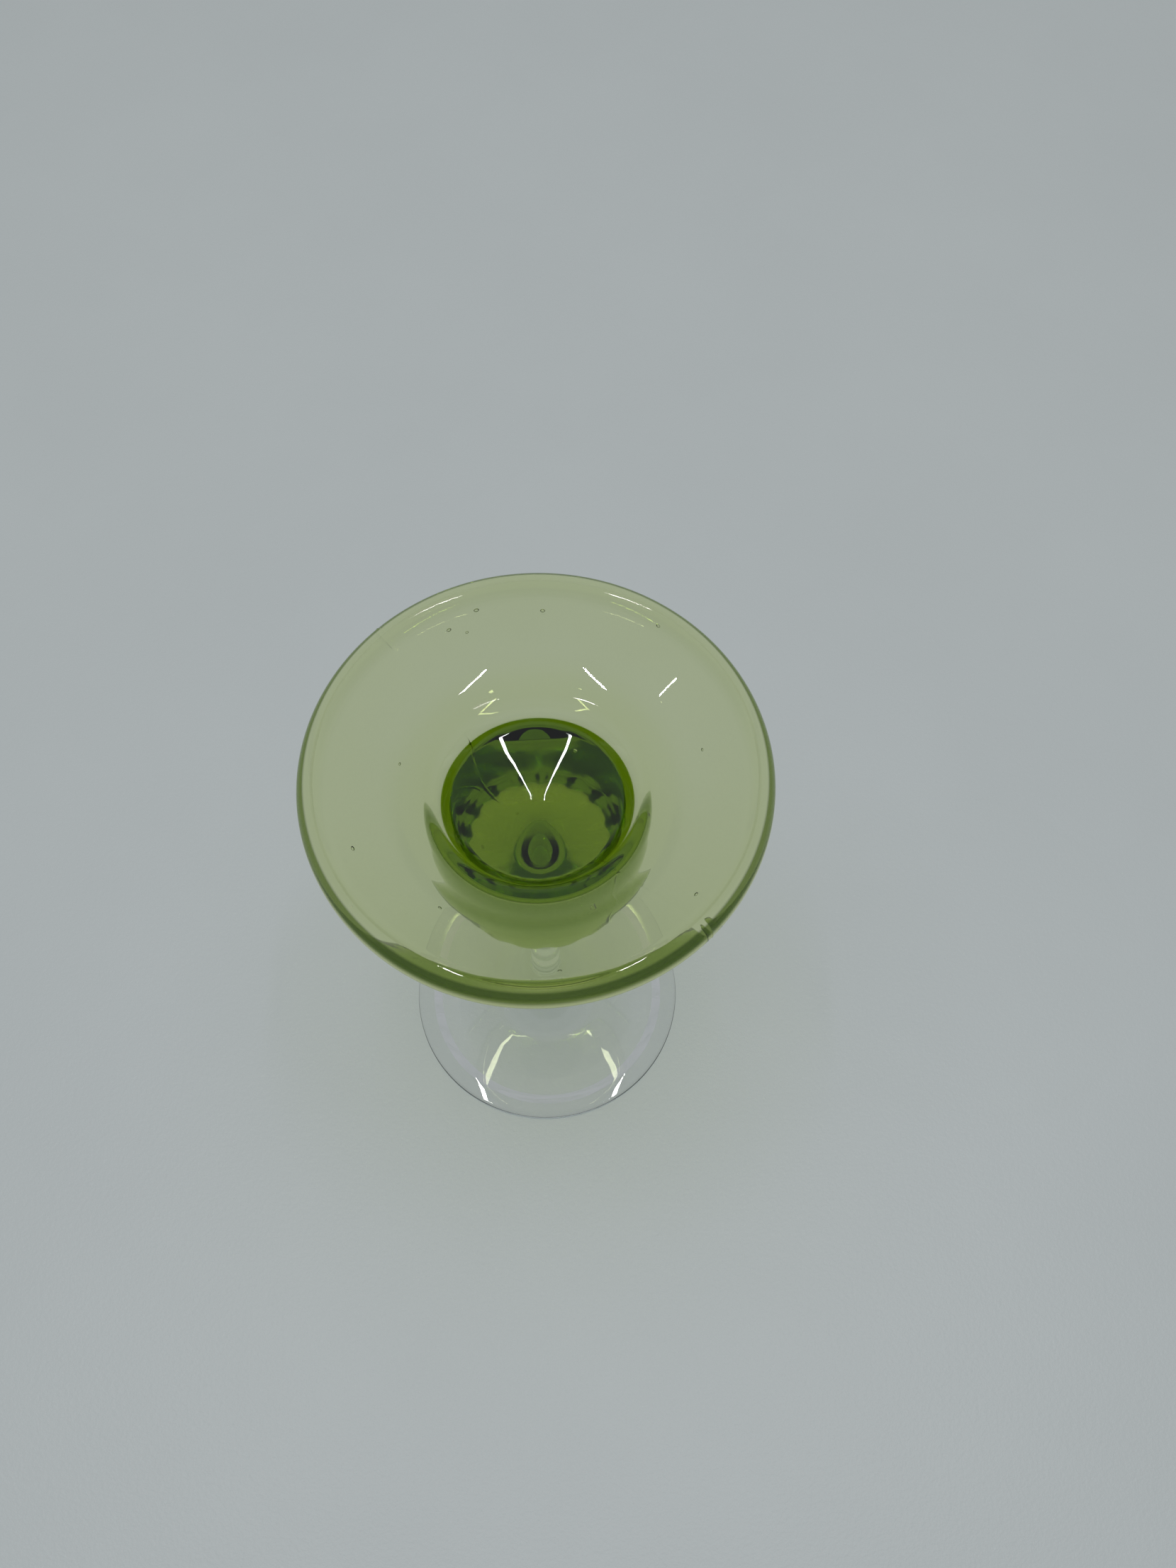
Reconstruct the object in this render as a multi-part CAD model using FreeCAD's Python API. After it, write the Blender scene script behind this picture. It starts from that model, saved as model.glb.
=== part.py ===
import FreeCAD, Part
import math
import os

# A stemmed cocktail glass, fused from three gathers of glass: a thick pressed
# bowl in green, a slim clear stem and a round clear foot. Every piece is
# turned about Z and the glass stands on z = 0. Millimetres.

# Bowl: a broad saucer with a thick rounded lip, a shallow well in its middle
# and a thick solid base, straight at first and then drawn in to the stem.
bowlTop = 168.9           # full height of the glass
lipRadius = 56.0          # widest point of the lip
lipWidth = 4.7            # flat-to-edge width of the lip before rounding
lipHeight = 7.4
lipRoundInside = 3.5
lipRoundTop = 4.4
lipRoundUnder = 2.4
saucerDepth = 9.8         # lip top to the saucer's flattest ring
saucerFlatRadius = 34.0
saucerRound = 25.0
shoulderRadius = 25.1     # where the saucer turns down into the well
shoulderDepth = 11.3
shoulderRound = 4.5
wellRadius = 20.9
wellDepth = 17.8          # lip top to the edge of the well's floor
wellCentreDepth = 23.3    # lip top to the middle of the well's floor
wellRound = 3.0
undersideLipRadius = 51.0
undersideLipDepth = 7.8   # lip top to the step inside the lip
undersideLipRound = 5.0
undersideRadius = 33.0
undersideDepth = 17.4     # lip top to the underside beside the base
undersideRound = 12.0
baseRadius = 26.1
baseTopDepth = 19.4
baseTopRound = 4.0
baseCornerDepth = 66.4    # where the straight base starts to draw in
baseCornerRound = 12.0
neckRadius = 8.0
neckDepth = 80.4
neckRound = 10.0

# Stem: a slim waisted rod between the bowl's neck and the foot.
stemTop = 78.5
stemBottom = 15.0
stemTopRadius = 5.0
stemWaistRadius = 4.2
stemFootRadius = 5.2

# Foot: a shallow cone that rests on a narrow flat ring, hollow inside the ring
# and lifted a little outside it, with a thin rounded edge.
footRadius = 42.6
footEdgeHeight = 3.4
footEdgeRound = 1.0
footShoulderRadius = 12.5
footShoulderHeight = 6.6
footShoulderRound = 18.0
footHollowDepth = 2.0
restInnerRadius = 34.6
restOuterRadius = 37.4
footEdgeLift = 1.3

axis = FreeCAD.Vector(0, 0, 1)
origin = FreeCAD.Vector(0, 0, 0)


def point(radius, height):
    return FreeCAD.Vector(radius, 0, height)


def outline(corners):
    """Edges through corners given as (radius, height) or (radius, height, rounding)."""
    edges = []
    start = point(*corners[0][:2])
    for before, corner, after in zip(corners, corners[1:], corners[2:]):
        here = point(*corner[:2])
        if len(corner) == 2:
            edges.append(Part.makeLine(start, here))
            start = here
            continue
        back = (point(*before[:2]) - here).normalize()
        ahead = (point(*after[:2]) - here).normalize()
        half = back.getAngle(ahead) / 2
        reach = corner[2] / math.tan(half)
        towardsCentre = (back + ahead).normalize()
        arcStart = here + back * reach
        arcMiddle = here + towardsCentre * (corner[2] / math.sin(half) - corner[2])
        arcEnd = here + ahead * reach
        edges.append(Part.makeLine(start, arcStart))
        edges.append(Part.Arc(arcStart, arcMiddle, arcEnd).toShape())
        start = arcEnd
    edges.append(Part.makeLine(start, point(*corners[-1][:2])))
    return edges


def turned(edges):
    """Solid of revolution from edges that start and end on the axis."""
    first = edges[0].Vertexes[0].Point
    last = edges[-1].Vertexes[-1].Point
    face = Part.Face(Part.Wire(edges + [Part.makeLine(last, first)]))
    return face.revolve(origin, axis, 360)


def makeBowl():
    inside = [
        (0, bowlTop - wellCentreDepth),
        (wellRadius, bowlTop - wellDepth, wellRound),
        (shoulderRadius, bowlTop - shoulderDepth, shoulderRound),
        (saucerFlatRadius, bowlTop - saucerDepth, saucerRound),
    ]
    lip = [
        (lipRadius - lipWidth, bowlTop, lipRoundInside),
        (lipRadius, bowlTop, lipRoundTop),
        (lipRadius, bowlTop - lipHeight, lipRoundUnder),
    ]
    outside = [
        (undersideLipRadius, bowlTop - undersideLipDepth, undersideLipRound),
        (undersideRadius, bowlTop - undersideDepth, undersideRound),
        (baseRadius, bowlTop - baseTopDepth, baseTopRound),
        (baseRadius, bowlTop - baseCornerDepth, baseCornerRound),
        (neckRadius, bowlTop - neckDepth, neckRound),
        (stemTopRadius, stemTop),
        (0, stemTop),
    ]
    return turned(outline(inside + lip + outside))


def makeStem():
    waistHeight = (stemBottom + stemTop) / 2
    side = Part.Arc(
        point(stemFootRadius, stemBottom),
        point(stemWaistRadius, waistHeight),
        point(stemTopRadius, stemTop),
    ).toShape()
    bottom = Part.makeLine(point(0, stemBottom), point(stemFootRadius, stemBottom))
    top = Part.makeLine(point(stemTopRadius, stemTop), point(0, stemTop))
    return turned([bottom, side, top])


def makeFoot():
    return turned(outline([
        (0, footHollowDepth),
        (restInnerRadius, 0),
        (restOuterRadius, 0),
        (footRadius, footEdgeLift),
        (footRadius, footEdgeHeight, footEdgeRound),
        (footShoulderRadius, footShoulderHeight, footShoulderRound),
        (stemFootRadius, stemBottom),
        (0, stemBottom),
    ]))


os.makedirs("parts", exist_ok=True)
pieces = {"bowl": makeBowl(), "stem": makeStem(), "foot": makeFoot()}
for name, shape in pieces.items():
    shape.exportStep("parts/" + name + ".step")
    print(name, shape.ShapeType, shape.isValid(), round(shape.Volume / 1000, 2), "cm3")
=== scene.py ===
from math import atan2, cos, hypot, pi, radians, sin, tan
import bpy
from mathutils import Matrix, Vector


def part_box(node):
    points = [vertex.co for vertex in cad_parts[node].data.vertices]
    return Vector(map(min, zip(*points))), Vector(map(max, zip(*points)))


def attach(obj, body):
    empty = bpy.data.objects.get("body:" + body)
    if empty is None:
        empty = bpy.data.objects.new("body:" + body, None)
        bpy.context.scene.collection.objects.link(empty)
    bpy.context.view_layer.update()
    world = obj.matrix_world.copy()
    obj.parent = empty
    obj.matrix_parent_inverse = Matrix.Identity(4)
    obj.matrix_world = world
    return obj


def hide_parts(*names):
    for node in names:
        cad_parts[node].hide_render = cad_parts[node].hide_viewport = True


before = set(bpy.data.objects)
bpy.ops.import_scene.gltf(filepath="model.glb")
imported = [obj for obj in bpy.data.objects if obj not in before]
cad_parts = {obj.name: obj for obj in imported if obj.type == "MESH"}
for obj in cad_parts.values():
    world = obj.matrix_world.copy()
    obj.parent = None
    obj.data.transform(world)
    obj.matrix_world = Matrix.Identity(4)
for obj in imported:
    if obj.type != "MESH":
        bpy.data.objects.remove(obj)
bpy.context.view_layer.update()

stemLow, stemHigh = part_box("stem")
scene = bpy.context.scene
mm = 0.001
print("frame loaded,", len(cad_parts), "pieces of glass")

view = {
    "place": (0.0121, -0.1528, 0.478),
    "tilt": 25.74,      # degrees up from looking straight down
    "roll": 1.17,
    "lens": 45.57,
    "sensor": 36.0,
    "nearest": 0.01,
}


def placeCamera(values):
    bpy.ops.object.camera_add(location=values["place"])
    camera = bpy.context.object
    camera.name = "camera"
    tilt = Matrix.Rotation(radians(values["tilt"]), 3, "X")
    roll = Matrix.Rotation(radians(values["roll"]), 3, "Z")
    camera.rotation_euler = (tilt @ roll).to_euler()
    camera.data.sensor_fit = "HORIZONTAL"
    camera.data.sensor_width = values["sensor"]
    camera.data.lens = values["lens"]
    camera.data.dof.use_dof = False
    camera.data.clip_start = values["nearest"]
    return camera


scene.camera = placeCamera(view)
scene.view_settings.view_transform = "Standard"
print("camera placed,", view["tilt"], "degrees from straight down")

# ways of working: an outline is drawn with one vertex, then turned round the axis


def deselectAll():
    if bpy.context.object and bpy.context.object.mode != "OBJECT":
        bpy.ops.object.mode_set(mode="OBJECT")
    bpy.ops.object.select_all(action="DESELECT")


def makeActive(piece):
    deselectAll()
    piece.select_set(True)
    bpy.context.view_layer.objects.active = piece


def startVertex(name, radius, height):
    # one vertex to extrude an outline from, in the XZ plane
    deselectAll()
    bpy.ops.mesh.primitive_plane_add(size=mm, location=(0, 0, 0))
    piece = bpy.context.object
    piece.name = name
    piece.data.name = name
    bpy.ops.object.mode_set(mode="EDIT")
    bpy.ops.mesh.select_mode(type="VERT")
    bpy.ops.mesh.select_all(action="SELECT")
    bpy.ops.mesh.merge(type="CENTER")
    bpy.ops.transform.translate(value=(radius * mm, 0, height * mm))
    return piece


def extrudeTo(here, there):
    step = (there - here) * mm
    bpy.ops.mesh.extrude_region_move(TRANSFORM_OT_translate={"value": (step.x, 0, step.y)})


def spinArc(centre, angle, steps):
    bpy.ops.mesh.spin(steps=steps, angle=angle, center=(centre.x * mm, 0, centre.y * mm),
                      axis=(0, 1, 0))


def drawOutline(name, corners, arcSteps=10, longest=4.0):
    # corners are (radius, height) or (radius, height, rounding) in millimetres, and no straight
    # step is much longer than longest
    piece = startVertex(name, corners[0][0], corners[0][1])
    here = Vector(corners[0][:2])
    for i in range(1, len(corners)):
        corner = Vector(corners[i][:2])
        target = corner
        rounding = corners[i][2] if len(corners[i]) > 2 else 0
        if rounding:
            back = (Vector(corners[i - 1][:2]) - corner).normalized()
            ahead = (Vector(corners[i + 1][:2]) - corner).normalized()
            half = back.angle(ahead) / 2
            target = corner + back * (rounding / tan(half))
            centre = corner + (back + ahead).normalized() * (rounding / sin(half))
        pieces = max(1, int((target - here).length / longest))
        start = here
        for k in range(1, pieces + 1):
            there = start.lerp(target, k / pieces)
            extrudeTo(here, there)
            here = there
        if rounding:
            bend = pi - 2 * half
            if back.x * ahead.y - back.y * ahead.x > 0:
                bend = -bend
            spinArc(centre, bend, arcSteps)
            here = corner + ahead * (rounding / tan(half))
    return piece


def spinRound(steps=192, outlineGap=1e-7, poleGap=2e-6):
    # the outline being edited, turned once about Z, with its seam and poles closed
    bpy.ops.mesh.select_all(action="SELECT")
    bpy.ops.mesh.remove_doubles(threshold=outlineGap)
    bpy.ops.mesh.select_all(action="SELECT")
    bpy.ops.mesh.spin(steps=steps, angle=2 * pi, center=(0, 0, 0), axis=(0, 0, 1))
    bpy.ops.mesh.select_all(action="SELECT")
    bpy.ops.mesh.remove_doubles(threshold=poleGap)
    bpy.ops.mesh.normals_make_consistent(inside=False)
    bpy.ops.object.mode_set(mode="OBJECT")


def smooth(piece, angle=32):
    makeActive(piece)
    bpy.ops.object.shade_smooth_by_angle(angle=radians(angle))


def startSelecting(piece, kind):
    # nothing selected in edit mode, then back to object mode to choose by place
    makeActive(piece)
    bpy.ops.object.mode_set(mode="EDIT")
    bpy.ops.mesh.select_all(action="DESELECT")
    bpy.ops.mesh.select_mode(type=kind)
    bpy.ops.object.mode_set(mode="OBJECT")


def selectVertices(piece, wanted):
    # vertices chosen by place, left selected in edit mode
    startSelecting(piece, "VERT")
    for v in piece.data.vertices:
        v.select = wanted(v.co)
    bpy.ops.object.mode_set(mode="EDIT")


def selectFaces(piece, wanted):
    # faces chosen by centre and normal, left selected in edit mode
    startSelecting(piece, "FACE")
    for f in piece.data.polygons:
        f.select = wanted(f.center, f.normal)
    bpy.ops.object.mode_set(mode="EDIT")


def finishWith(piece, material):
    piece.data.materials.clear()
    piece.data.materials.append(material)


# shading: each effect is built once, and each glass gives it its own values


def newGroup(name, inputs, outputs):
    group = bpy.data.node_groups.new(name, "ShaderNodeTree")
    for socketName, kind, value in inputs:
        socket = group.interface.new_socket(socketName, in_out="INPUT", socket_type=kind)
        if value is not None:
            socket.default_value = value
    for socketName, kind in outputs:
        group.interface.new_socket(socketName, in_out="OUTPUT", socket_type=kind)
    return group, group.nodes.new("NodeGroupInput"), group.nodes.new("NodeGroupOutput")


def placeGroup(nodes, links, group, coordinates, values):
    node = nodes.new("ShaderNodeGroup")
    node.node_tree = group
    for socketName, value in values.items():
        node.inputs[socketName].default_value = value
    links.new(coordinates, node.inputs["Coordinates"])
    return node


def mathNode(nodes, links, operation, a, b=None, clamp=False):
    node = nodes.new("ShaderNodeMath")
    node.operation = operation
    node.use_clamp = clamp
    for socket, value in zip(node.inputs, (a, b)):
        if value is None:
            continue
        if isinstance(value, (int, float)):
            socket.default_value = value
        else:
            links.new(value, socket)
    return node.outputs[0]


def noiseNode(nodes, links, vector, scale, detail=2.0, roughness=0.5, distortion=0.0):
    node = nodes.new("ShaderNodeTexNoise")
    node.inputs["Detail"].default_value = detail
    node.inputs["Roughness"].default_value = roughness
    node.inputs["Distortion"].default_value = distortion
    links.new(vector, node.inputs["Vector"])
    if isinstance(scale, (int, float)):
        node.inputs["Scale"].default_value = scale
    else:
        links.new(scale, node.inputs["Scale"])
    return node.outputs["Fac"]


def rangeNode(nodes, links, value, low, high):
    node = nodes.new("ShaderNodeMapRange")
    node.inputs["From Min"].default_value = low
    node.inputs["From Max"].default_value = high
    links.new(value, node.inputs["Value"])
    return node.outputs[0]


def splitNode(nodes, links, vector):
    node = nodes.new("ShaderNodeSeparateXYZ")
    links.new(vector, node.inputs[0])
    return node.outputs


def colourMix(nodes, links, share):
    node = nodes.new("ShaderNodeMix")
    node.data_type = "RGBA"
    links.new(share, node.inputs["Factor"])
    return node


cordForm = {
    "stretch": (1.0, 1.0, 0.35),    # cords run upwards, as the glass was drawn
    "broad": (2.0, 0.45, 0.6),      # detail, roughness, distortion
    "fine": (3.0, 0.5, 0.2),
    "fineTimes": 4.0,
    "fineShare": 0.15,
    "paleUpTo": 0.35,
    "deepFrom": 0.65,
}


def makeCordGroup(form):
    # cords: faint streaks of uneven melt, in colour and in the surface's height
    group, given, result = newGroup(
        "glassCords",
        [("Coordinates", "NodeSocketVector", None), ("Scale", "NodeSocketFloat", 40.0),
         ("Pale", "NodeSocketColor", (1, 1, 1, 1)), ("Deep", "NodeSocketColor", (1, 1, 1, 1))],
        [("Tint", "NodeSocketColor"), ("Height", "NodeSocketFloat")])
    nodes, links = group.nodes, group.links
    stretch = nodes.new("ShaderNodeMapping")
    stretch.inputs["Scale"].default_value = form["stretch"]
    links.new(given.outputs["Coordinates"], stretch.inputs["Vector"])
    broad = noiseNode(nodes, links, stretch.outputs[0], given.outputs["Scale"], *form["broad"])
    fineScale = mathNode(nodes, links, "MULTIPLY", given.outputs["Scale"], form["fineTimes"])
    fine = noiseNode(nodes, links, stretch.outputs[0], fineScale, *form["fine"])
    share = rangeNode(nodes, links, broad, form["paleUpTo"], form["deepFrom"])
    mix = colourMix(nodes, links, share)
    links.new(given.outputs["Pale"], mix.inputs["A"])
    links.new(given.outputs["Deep"], mix.inputs["B"])
    links.new(mix.outputs["Result"], result.inputs["Tint"])
    small = mathNode(nodes, links, "MULTIPLY", fine, form["fineShare"])
    links.new(mathNode(nodes, links, "ADD", broad, small), result.inputs["Height"])
    return group


marks = {
    "smearScale": 28.0,
    "smearForm": (4.0, 0.6, 1.2),   # detail, roughness, distortion
    "smearFrom": 0.56,
    "smearFull": 0.74,
    "scuffScale": 90.0,
    "scuffWidth": 0.006,
    "gritScale": 900.0,
    "gritForm": (2.0, 0.6),
}


def makeHandlingGroup(form):
    # handling: faint smears, tiny scuffs and a worn part below a height
    group, given, result = newGroup(
        "handling",
        [("Coordinates", "NodeSocketVector", None), ("Clean", "NodeSocketFloat", 0.0),
         ("Smear", "NodeSocketFloat", 0.03), ("Worn", "NodeSocketFloat", 0.25),
         ("Worn Height", "NodeSocketFloat", 0.001)],
        [("Roughness", "NodeSocketFloat")])
    nodes, links = group.nodes, group.links
    place = given.outputs["Coordinates"]
    smears = noiseNode(nodes, links, place, form["smearScale"], *form["smearForm"])
    patch = rangeNode(nodes, links, smears, form["smearFrom"], form["smearFull"])
    scuffs = nodes.new("ShaderNodeTexVoronoi")
    scuffs.feature = "DISTANCE_TO_EDGE"
    scuffs.inputs["Scale"].default_value = form["scuffScale"]
    links.new(place, scuffs.inputs["Vector"])
    hair = mathNode(nodes, links, "LESS_THAN", scuffs.outputs["Distance"], form["scuffWidth"])
    hairPart = mathNode(nodes, links, "MULTIPLY", hair, patch)
    height = splitNode(nodes, links, place)["Z"]
    low = mathNode(nodes, links, "LESS_THAN", height, given.outputs["Worn Height"])
    grit = noiseNode(nodes, links, place, form["gritScale"], *form["gritForm"])
    wornPart = mathNode(nodes, links, "MULTIPLY", low, grit)
    wornPart = mathNode(nodes, links, "MULTIPLY", wornPart, given.outputs["Worn"])
    smearPart = mathNode(nodes, links, "MULTIPLY", patch, given.outputs["Smear"])
    hairPart = mathNode(nodes, links, "MULTIPLY", hairPart, given.outputs["Smear"])
    total = mathNode(nodes, links, "ADD", given.outputs["Clean"], smearPart)
    total = mathNode(nodes, links, "ADD", total, hairPart)
    total = mathNode(nodes, links, "ADD", total, wornPart, clamp=True)
    links.new(total, result.inputs["Roughness"])
    return group


jointFinder = {"levelFrom": 0.98, "reach": 0.00005}     # how flat, and how near in metres


def makeJointGroup(form):
    # fused joint: a mask that is 0 on the flat face where two gathers meet, so it can't be seen
    group, given, result = newGroup(
        "fusedJoint",
        [("Coordinates", "NodeSocketVector", None), ("Normal", "NodeSocketVector", None),
         ("Height", "NodeSocketFloat", 0.0), ("Second Height", "NodeSocketFloat", 0.0)],
        [("Kept", "NodeSocketFloat")])
    nodes, links = group.nodes, group.links
    height = splitNode(nodes, links, given.outputs["Coordinates"])["Z"]
    facing = splitNode(nodes, links, given.outputs["Normal"])["Z"]
    level = mathNode(nodes, links, "ABSOLUTE", facing)
    level = mathNode(nodes, links, "GREATER_THAN", level, form["levelFrom"])
    near = []
    for socket in ("Height", "Second Height"):
        away = mathNode(nodes, links, "SUBTRACT", height, given.outputs[socket])
        away = mathNode(nodes, links, "ABSOLUTE", away)
        near.append(mathNode(nodes, links, "LESS_THAN", away, form["reach"]))
    either = mathNode(nodes, links, "MAXIMUM", near[0], near[1])
    joined = mathNode(nodes, links, "MULTIPLY", either, level)
    links.new(mathNode(nodes, links, "SUBTRACT", 1.0, joined), result.inputs["Kept"])
    return group


paintedLipShadeZone = {     # metres: the painted shade on the lip grows between the radii, and between the heights
    "Inner Radius": 0.0536,
    "Outer Radius": 0.0543,
    "Lowest": 0.1646,
    "Full Height": 0.1662,
}


def makePaintedLipShadeGroup():
    # painted shade on the lip: a mask for the rolled edge, where one looks along the glass and not
    # through it, and where a dark green is painted in place of the darkening that long paths
    # through the glass give
    group, given, result = newGroup(
        "paintedLipShade",
        [("Coordinates", "NodeSocketVector", None), ("Inner Radius", "NodeSocketFloat", 0.0),
         ("Outer Radius", "NodeSocketFloat", 1.0), ("Lowest", "NodeSocketFloat", 0.0),
         ("Full Height", "NodeSocketFloat", 1.0)],
        [("Mask", "NodeSocketFloat")])
    nodes, links = group.nodes, group.links
    place = splitNode(nodes, links, given.outputs["Coordinates"])
    flatten = nodes.new("ShaderNodeCombineXYZ")
    links.new(place["X"], flatten.inputs["X"])
    links.new(place["Y"], flatten.inputs["Y"])
    radius = nodes.new("ShaderNodeVectorMath")
    radius.operation = "LENGTH"
    links.new(flatten.outputs[0], radius.inputs[0])
    shares = []
    for value, low, high in ((radius.outputs["Value"], "Inner Radius", "Outer Radius"),
                             (place["Z"], "Lowest", "Full Height")):
        share = nodes.new("ShaderNodeMapRange")
        share.interpolation_type = "SMOOTHSTEP"
        links.new(value, share.inputs["Value"])
        links.new(given.outputs[low], share.inputs["From Min"])
        links.new(given.outputs[high], share.inputs["From Max"])
        shares.append(share.outputs[0])
    links.new(mathNode(nodes, links, "MULTIPLY", shares[0], shares[1]), result.inputs["Mask"])
    return group


paintedLipShadeGroup = makePaintedLipShadeGroup()
cordGroup = makeCordGroup(cordForm)
handlingGroup = makeHandlingGroup(marks)
jointGroup = makeJointGroup(jointFinder)
print("shading groups built,", len(bpy.data.node_groups))


def makeGlass(name, look):
    material = bpy.data.materials.new(name)
    material.use_nodes = True
    nodes, links = material.node_tree.nodes, material.node_tree.links
    glass = nodes["Principled BSDF"]
    output = nodes["Material Output"]
    place = nodes.new("ShaderNodeTexCoord").outputs["Object"]
    geometry = nodes.new("ShaderNodeNewGeometry")

    cords = placeGroup(nodes, links, cordGroup, place, {
        "Scale": look["cordScale"], "Pale": (*look["pale"], 1), "Deep": (*look["deep"], 1)})
    tint = cords.outputs["Tint"]
    # painted shade: a dark green is painted into the rolled lip's colour, standing in for the dark
    # outline the glass shows there
    if look["edge"]:
        lip = placeGroup(nodes, links, paintedLipShadeGroup, place, paintedLipShadeZone)
        paintLipShade = colourMix(nodes, links, lip.outputs["Mask"])
        links.new(tint, paintLipShade.inputs["A"])
        paintLipShade.inputs["B"].default_value = (*look["edge"], 1)
        tint = paintLipShade.outputs["Result"]
    links.new(tint, glass.inputs["Base Color"])

    bump = nodes.new("ShaderNodeBump")
    bump.inputs["Strength"].default_value = look["waveStrength"]
    bump.inputs["Distance"].default_value = look["waveDepth"]
    links.new(cords.outputs["Height"], bump.inputs["Height"])
    links.new(bump.outputs["Normal"], glass.inputs["Normal"])

    handling = placeGroup(nodes, links, handlingGroup, place, {
        "Clean": look["roughness"], "Smear": look["smear"],
        "Worn": look["worn"], "Worn Height": look["wornHeight"]})
    links.new(handling.outputs["Roughness"], glass.inputs["Roughness"])

    joint = placeGroup(nodes, links, jointGroup, place, {
        "Height": look["joints"][0], "Second Height": look["joints"][1]})
    links.new(geometry.outputs["True Normal"], joint.inputs["Normal"])
    links.new(joint.outputs["Kept"], glass.inputs["Alpha"])

    glass.inputs["Metallic"].default_value = 0
    glass.inputs["Transmission Weight"].default_value = 1
    glass.inputs["IOR"].default_value = look["ior"]

    # light falls through the glass on to the table, tinted as the glass is
    lightPath = nodes.new("ShaderNodeLightPath")
    through = nodes.new("ShaderNodeBsdfTransparent")
    through.inputs["Color"].default_value = (*look["shadow"], 1)
    mix = nodes.new("ShaderNodeMixShader")
    links.new(lightPath.outputs["Is Shadow Ray"], mix.inputs[0])
    links.new(glass.outputs[0], mix.inputs[1])
    links.new(through.outputs[0], mix.inputs[2])
    links.new(mix.outputs[0], output.inputs["Surface"])

    absorb = nodes.new("ShaderNodeVolumeAbsorption")
    absorb.inputs["Color"].default_value = (*look["absorbed"], 1)
    absorb.inputs["Density"].default_value = look["density"]
    links.new(absorb.outputs[0], output.inputs["Volume"])
    return material


greenBowl = {
    # outline in millimetres: (radius, height) or (radius, height, rounding)
    "well": [(0, 145.6), (20.9, 151.1, 3)],
    "saucer": [(25.1, 157.6, 4.5), (34, 159.1, 25)],
    "lip": [(51.3, 168.9, 3.5), (56.0, 168.9, 4.4), (56.0, 161.5, 2.4)],
    "underside": [(51, 161.1, 5), (33, 151.5, 12), (26.1, 149.5, 4)],
    "base": [(26.1, 102.5, 12), (8, 88.5, 10), (5, 78.5), (0, 78.5)],
    "seamAngle": -43.5,     # degrees from +X; the mould opens along this plane
    "seamWidth": 0.5,
    "seamHeight": 0.12,     # on the base and on the lip
    "seamUnderHeight": 0.02,    # under the saucer, where it was polished away
    "seamLowest": 93.0,
    "seamInnermost": 10.0,
    "seamSaucer": (150.0, 161.0),
    "seamBand": 2.0,        # faces this near the plane are cut
    "seamOutward": 0.25,    # how far a face must look outwards to carry the seam
    "seamDownward": -0.3,   # or how far down
    "seamTolerance": 0.001,
    # shallow hollows left where the base was drawn in: degrees from +X
    "hollows": (8, 31, 58, 83, 104, 133, 155, 181, 203, 222, 243, 259, 277, 296, 318, 341),
    "hollowZone": (86.0, 106.0),
    "hollowScale": 0.98,
    "hollowReach": 3.5,
    "hollowLine": 0.45,     # half the width of the line of points drawn in
    "hollowInnermost": 9.0,
    "glass": {
        "cordScale": 26.0,
        "pale": (0.992, 0.997, 0.950),
        "deep": (0.980, 0.987, 0.925),
        "waveStrength": 0.05,
        "waveDepth": 0.0006,
        "roughness": 0.0,
        "smear": 0.03,
        "worn": 0.3,
        "wornHeight": 0.107,    # the drawn-in part of the base, left rippled from the mould
        "joints": (stemHigh.z, stemHigh.z),
        "ior": 1.5,
        "shadow": (0.918, 0.922, 0.916),
        "absorbed": (0.674, 0.771, 0.0),
        # painted shade: the dark green painted on the rolled lip
        "edge": (0.10, 0.16, 0.02),
        "density": 75.2,
    },
}

bowl = drawOutline("green_bowl", greenBowl["well"] + greenBowl["saucer"] + greenBowl["lip"]
                   + greenBowl["underside"] + greenBowl["base"])
spinRound()
print("bowl turned,", len(bowl.data.polygons), "faces")


def pressHollows(piece, shape):
    # each hollow is one line of points drawn towards the axis, with its neighbours following
    low, high = (height * mm for height in shape["hollowZone"])
    for angle in shape["hollows"]:
        away = Vector((cos(radians(angle)), sin(radians(angle)), 0))
        side = Vector((-away.y, away.x, 0))
        selectVertices(piece, lambda co: low < co.z < high
                       and co.dot(away) > shape["hollowInnermost"] * mm
                       and abs(co.dot(side)) < shape["hollowLine"] * mm)
        bpy.ops.transform.resize(value=(shape["hollowScale"], shape["hollowScale"], 1),
                                 center_override=(0, 0, 0), use_proportional_edit=True,
                                 proportional_edit_falloff="SMOOTH",
                                 proportional_size=shape["hollowReach"] * mm)
    bpy.ops.object.mode_set(mode="OBJECT")
    return len(shape["hollows"])


print("hollows pressed,", pressHollows(bowl, greenBowl))


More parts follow.
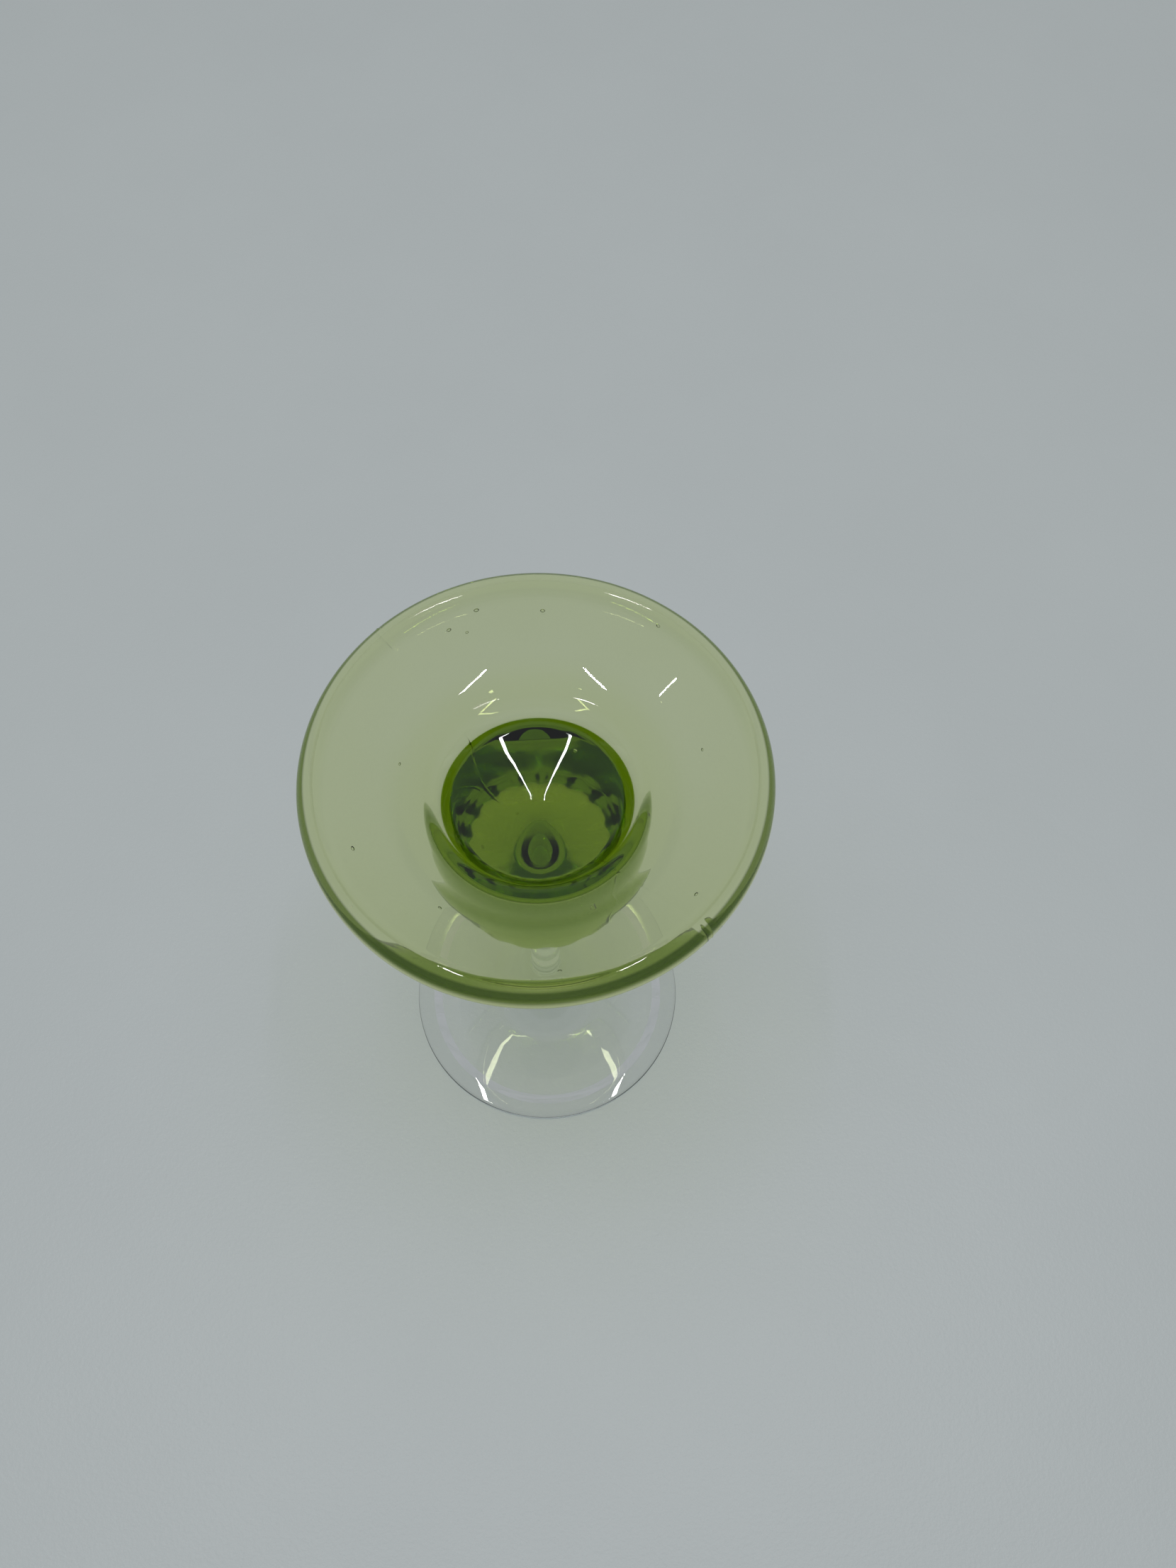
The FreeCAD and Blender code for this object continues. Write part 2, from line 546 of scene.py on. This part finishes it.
def raiseSeam(piece, shape):
    # the two halves of the mould leave a fine ridge up the outside of the bowl
    turnBy = Matrix.Rotation(radians(shape["seamAngle"]), 4, "Z")
    piece.data.transform(turnBy)
    along = turnBy @ Vector((1, 0, 0))
    across = turnBy @ Vector((0, 1, 0))
    lowest = shape["seamLowest"] * mm

    def carriesSeam(outward, normal):
        return outward > shape["seamOutward"] or normal.z < shape["seamDownward"]

    def outside(centre, normal):
        radius = hypot(centre.x, centre.y)
        outward = (normal.x * centre.x + normal.y * centre.y) / radius
        near = abs(centre.dot(across)) < shape["seamBand"] * mm
        return centre.z > lowest and near and carriesSeam(outward, normal)

    for side in (-0.5, 0.5):
        selectFaces(piece, outside)
        bpy.ops.mesh.bisect(plane_co=across * side * shape["seamWidth"] * mm, plane_no=across)
    bpy.ops.object.mode_set(mode="OBJECT")

    ridge = []
    for v in piece.data.vertices:
        onPlane = abs(v.co.dot(across)) < shape["seamTolerance"] * mm
        if not onPlane or v.co.z <= lowest or hypot(v.co.x, v.co.y) <= shape["seamInnermost"] * mm:
            continue
        outward = v.normal.dot(along) * (1 if v.co.dot(along) > 0 else -1)
        if carriesSeam(outward, v.normal):
            ridge.append((v, v.normal.copy()))
    saucerLow, saucerHigh = (height * mm for height in shape["seamSaucer"])
    for v, normal in ridge:
        under = saucerLow < v.co.z < saucerHigh
        v.co += normal * (shape["seamUnderHeight"] if under else shape["seamHeight"]) * mm
    return len(ridge)


print("mould seam raised,", raiseSeam(bowl, greenBowl), "points")
smooth(bowl)
finishWith(bowl, makeGlass("green pressed glass", greenBowl["glass"]))
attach(bowl, "root")
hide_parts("bowl")
bowl.visible_diffuse = False    # no green cast on the table beyond what the lamps give
print("bowl finished in green glass")

seeds = {
    "radius": 0.42,
    "segments": 20,
    "rings": 12,
    "smoothAngle": 60,
    "stretch": (1.5, 1.0, 0.8),     # drawn out round the bowl as it was pressed
    # given: degrees from +X, distance from the axis, height, size
    "places": [
        (120, 46, 164, 1.0), (110, 48, 165, 1.1), (115, 44, 163, 0.7),
        (170, 34, 157, 0.7), (90, 46, 164, 1.0), (55, 50, 166, 0.9),
        (205, 46, 164, 1.0), (236, 38.5, 158.0, 0.8), (322, 47.5, 163.9, 0.9),
        (14, 41.0, 160.0, 0.7), (278, 49.0, 165.0, 0.8), (64, 21.0, 139.0, 1.1),
        (201, 17.5, 121.0, 1.0), (305, 20.5, 129.0, 1.2), (142, 12.0, 112.0, 0.9),
    ],
    "air": {
        "ior": 0.667,   # air inside glass bends light the other way: one over its index
        "roughness": 0.0,
        "smear": 0.01,
        "wornHeight": -1.0,     # worn nowhere
        "colour": (1, 1, 1),
    },
}


def makeSeeds(values):
    # one bubble is shaped, then copied to each place and the copies are joined
    deselectAll()
    bpy.ops.mesh.primitive_uv_sphere_add(segments=values["segments"], ring_count=values["rings"],
                                         radius=values["radius"] * mm)
    first = bpy.context.object
    bpy.ops.object.mode_set(mode="EDIT")
    bpy.ops.mesh.select_all(action="SELECT")
    bpy.ops.transform.resize(value=values["stretch"])
    bpy.ops.object.mode_set(mode="OBJECT")
    copies = []
    for angle, radius, height, size in values["places"]:
        copy = first.copy()
        copy.data = first.data.copy()
        scene.collection.objects.link(copy)
        out = Vector((radius * cos(radians(angle)), radius * sin(radians(angle)), height)) * mm
        turn = Matrix.Rotation(radians(angle + 90), 4, "Z")
        copy.data.transform(Matrix.Translation(out) @ turn @ Matrix.Scale(size, 4))
        copies.append(copy)
    bpy.data.objects.remove(first)
    makeActive(copies[0])
    for copy in copies:
        copy.select_set(True)
    bpy.ops.object.join()
    joined = bpy.context.object
    joined.name = "seed_bubbles"
    joined.data.name = "seed_bubbles"
    smooth(joined, values["smoothAngle"])
    return joined


def makeTrappedAir(look):
    material = bpy.data.materials.new("trapped air")
    material.use_nodes = True
    nodes, links = material.node_tree.nodes, material.node_tree.links
    air = nodes["Principled BSDF"]
    place = nodes.new("ShaderNodeTexCoord").outputs["Object"]
    handling = placeGroup(nodes, links, handlingGroup, place, {
        "Clean": look["roughness"], "Smear": look["smear"], "Worn Height": look["wornHeight"]})
    links.new(handling.outputs["Roughness"], air.inputs["Roughness"])
    air.inputs["Transmission Weight"].default_value = 1
    air.inputs["IOR"].default_value = look["ior"]
    air.inputs["Base Color"].default_value = (*look["colour"], 1)
    return material


bubbles = makeSeeds(seeds)
finishWith(bubbles, makeTrappedAir(seeds["air"]))
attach(bubbles, "root")
print("seed bubbles set,", len(seeds["places"]))

stemShape = {
    "bottomRadius": 5.2,
    "waistRadius": 4.2,
    "topRadius": 5.0,
    "rings": 24,
    "steps": 96,
    "poleGap": 1e-5,
}

# the stem and the foot share one clear glass
clearLook = {
    "cordScale": 34.0,
    "pale": (0.985, 0.979, 0.993),
    "deep": (0.970, 0.963, 0.981),
    "waveStrength": 0.05,
    "waveDepth": 0.0004,
    "roughness": 0.0,
    "smear": 0.03,
    "worn": 0.25,
    "wornHeight": 0.0003,   # where the foot stands
    "joints": (stemHigh.z, stemLow.z),
    "ior": 1.5,
    "shadow": (0.945, 0.945, 0.945),
    "absorbed": (0.2, 0.8, 0.7),
    "edge": None,
    "density": 2.0,
}
clearGlass = makeGlass("clear drawn glass", clearLook)


def centreOfArc(a, b, c):
    # the centre of the circle through three points
    cross = 2 * (a.x * (b.y - c.y) + b.x * (c.y - a.y) + c.x * (a.y - b.y))
    x = (a.dot(a) * (b.y - c.y) + b.dot(b) * (c.y - a.y) + c.dot(c) * (a.y - b.y)) / cross
    y = (a.dot(a) * (c.x - b.x) + b.dot(b) * (a.x - c.x) + c.dot(c) * (b.x - a.x)) / cross
    return Vector((x, y))


def drawStem(name, shape):
    # one arc from the foot through the waist to the bowl, closed to the axis at both ends
    low, high = stemLow.z / mm, stemHigh.z / mm
    bottom = Vector((shape["bottomRadius"], low))
    waist = Vector((shape["waistRadius"], (low + high) / 2))
    top = Vector((shape["topRadius"], high))
    centre = centreOfArc(bottom, waist, top)
    piece = startVertex(name, 0, low)
    extrudeTo(Vector((0, low)), bottom)
    startAngle = atan2(bottom.y - centre.y, bottom.x - centre.x)
    endAngle = atan2(top.y - centre.y, top.x - centre.x)
    spinArc(centre, (endAngle - startAngle + pi) % (2 * pi) - pi, shape["rings"])
    extrudeTo(top, Vector((0, high)))
    spinRound(steps=shape["steps"], poleGap=shape["poleGap"])
    return piece


stem = drawStem("clear_stem", stemShape)
smooth(stem)
finishWith(stem, clearGlass)
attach(stem, "root")
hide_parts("stem")
stem.visible_diffuse = False    # as the bowl, and so is the foot
print("stem turned,", len(stem.data.polygons), "faces")

footShape = {
    "hollow": [(0, 2.0), (34.6, 0), (37.4, 0)],
    "edge": [(42.6, 1.3), (42.6, 3.4, 1.0)],
    "top": [(12.5, 6.6, 18), (5.2, 15.0), (0, 15.0)],
}

foot = drawOutline("clear_foot", footShape["hollow"] + footShape["edge"] + footShape["top"])
spinRound()
smooth(foot)
finishWith(foot, clearGlass)
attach(foot, "root")
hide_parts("foot")
foot.visible_diffuse = False
print("foot turned,", len(foot.data.polygons), "faces")

floorLook = {
    "dark": (0.396, 0.422, 0.425, 1),
    "pale": (0.428, 0.456, 0.459, 1),
    "toneScale": 9.0,
    "toneForm": (6.0, 0.62),    # detail, roughness
    "grainScale": 700.0,
    "grainForm": (3.0, 0.7),
    "grainDepth": 0.0004,
    "grain": 0.35,
    "roughness": 0.35,
    "specular": 0.4,
    "size": 14.0,
}


def makeTable(look):
    material = bpy.data.materials.new("pale table")
    material.use_nodes = True
    nodes, links = material.node_tree.nodes, material.node_tree.links
    shader = nodes["Principled BSDF"]
    place = nodes.new("ShaderNodeTexCoord").outputs["Object"]
    tone = noiseNode(nodes, links, place, look["toneScale"], *look["toneForm"])
    mix = colourMix(nodes, links, tone)
    mix.inputs["A"].default_value = look["dark"]
    mix.inputs["B"].default_value = look["pale"]
    links.new(mix.outputs["Result"], shader.inputs["Base Color"])
    grain = noiseNode(nodes, links, place, look["grainScale"], *look["grainForm"])
    bump = nodes.new("ShaderNodeBump")
    bump.inputs["Strength"].default_value = look["grain"]
    bump.inputs["Distance"].default_value = look["grainDepth"]
    links.new(grain, bump.inputs["Height"])
    links.new(bump.outputs["Normal"], shader.inputs["Normal"])
    shader.inputs["Roughness"].default_value = look["roughness"]
    shader.inputs["Specular IOR Level"].default_value = look["specular"]
    return material


deselectAll()
bpy.ops.mesh.primitive_plane_add(size=floorLook["size"], location=(0, 0, 0))
floor = bpy.context.object
floor.name = "floor"
floor.data.materials.append(makeTable(floorLook))
print("floor laid,", floorLook["size"], "m wide")

lighting = {
    "sky": (0.85, 0.9, 0.92, 1),
    "skyStrength": 0.46,
    "soft": {"place": (0, 0.1, 1.5), "size": (1.3, 1.3), "power": 11.5},
    "stripLeft": {"place": (-0.43, 0.0, 2.16), "size": (0.032, 0.5), "power": 3.0},
    "stripRight": {"place": (0.40, 0.0, 2.16), "size": (0.032, 0.5), "power": 3.0},
    "spot": {"place": (-1.55, -0.20, 2.0), "size": (0.02,), "power": 0.8},
}


def addLight(name, values):
    # a round lamp has one size, and a straight one has two
    deselectAll()
    bpy.ops.object.light_add(type="AREA", location=values["place"])
    light = bpy.context.object
    light.name = name
    light.data.shape = "DISK" if len(values["size"]) == 1 else "RECTANGLE"
    light.data.size = values["size"][0]
    if len(values["size"]) == 2:
        light.data.size_y = values["size"][1]
    light.data.energy = values["power"]
    return light


softLight = addLight("soft_light", lighting["soft"])
softLight.visible_glossy = False
softLight.visible_transmission = False
addLight("left_strip", lighting["stripLeft"])
addLight("right_strip", lighting["stripRight"])
spot = addLight("small_lamp", lighting["spot"])
spot.rotation_euler = Vector(lighting["spot"]["place"]).to_track_quat("Z", "Y").to_euler()

world = bpy.data.worlds.new("pale room")
scene.world = world
world.use_nodes = True
background = world.node_tree.nodes["Background"]
background.inputs["Color"].default_value = lighting["sky"]
background.inputs["Strength"].default_value = lighting["skyStrength"]
print("lights set,", len(bpy.data.lights))
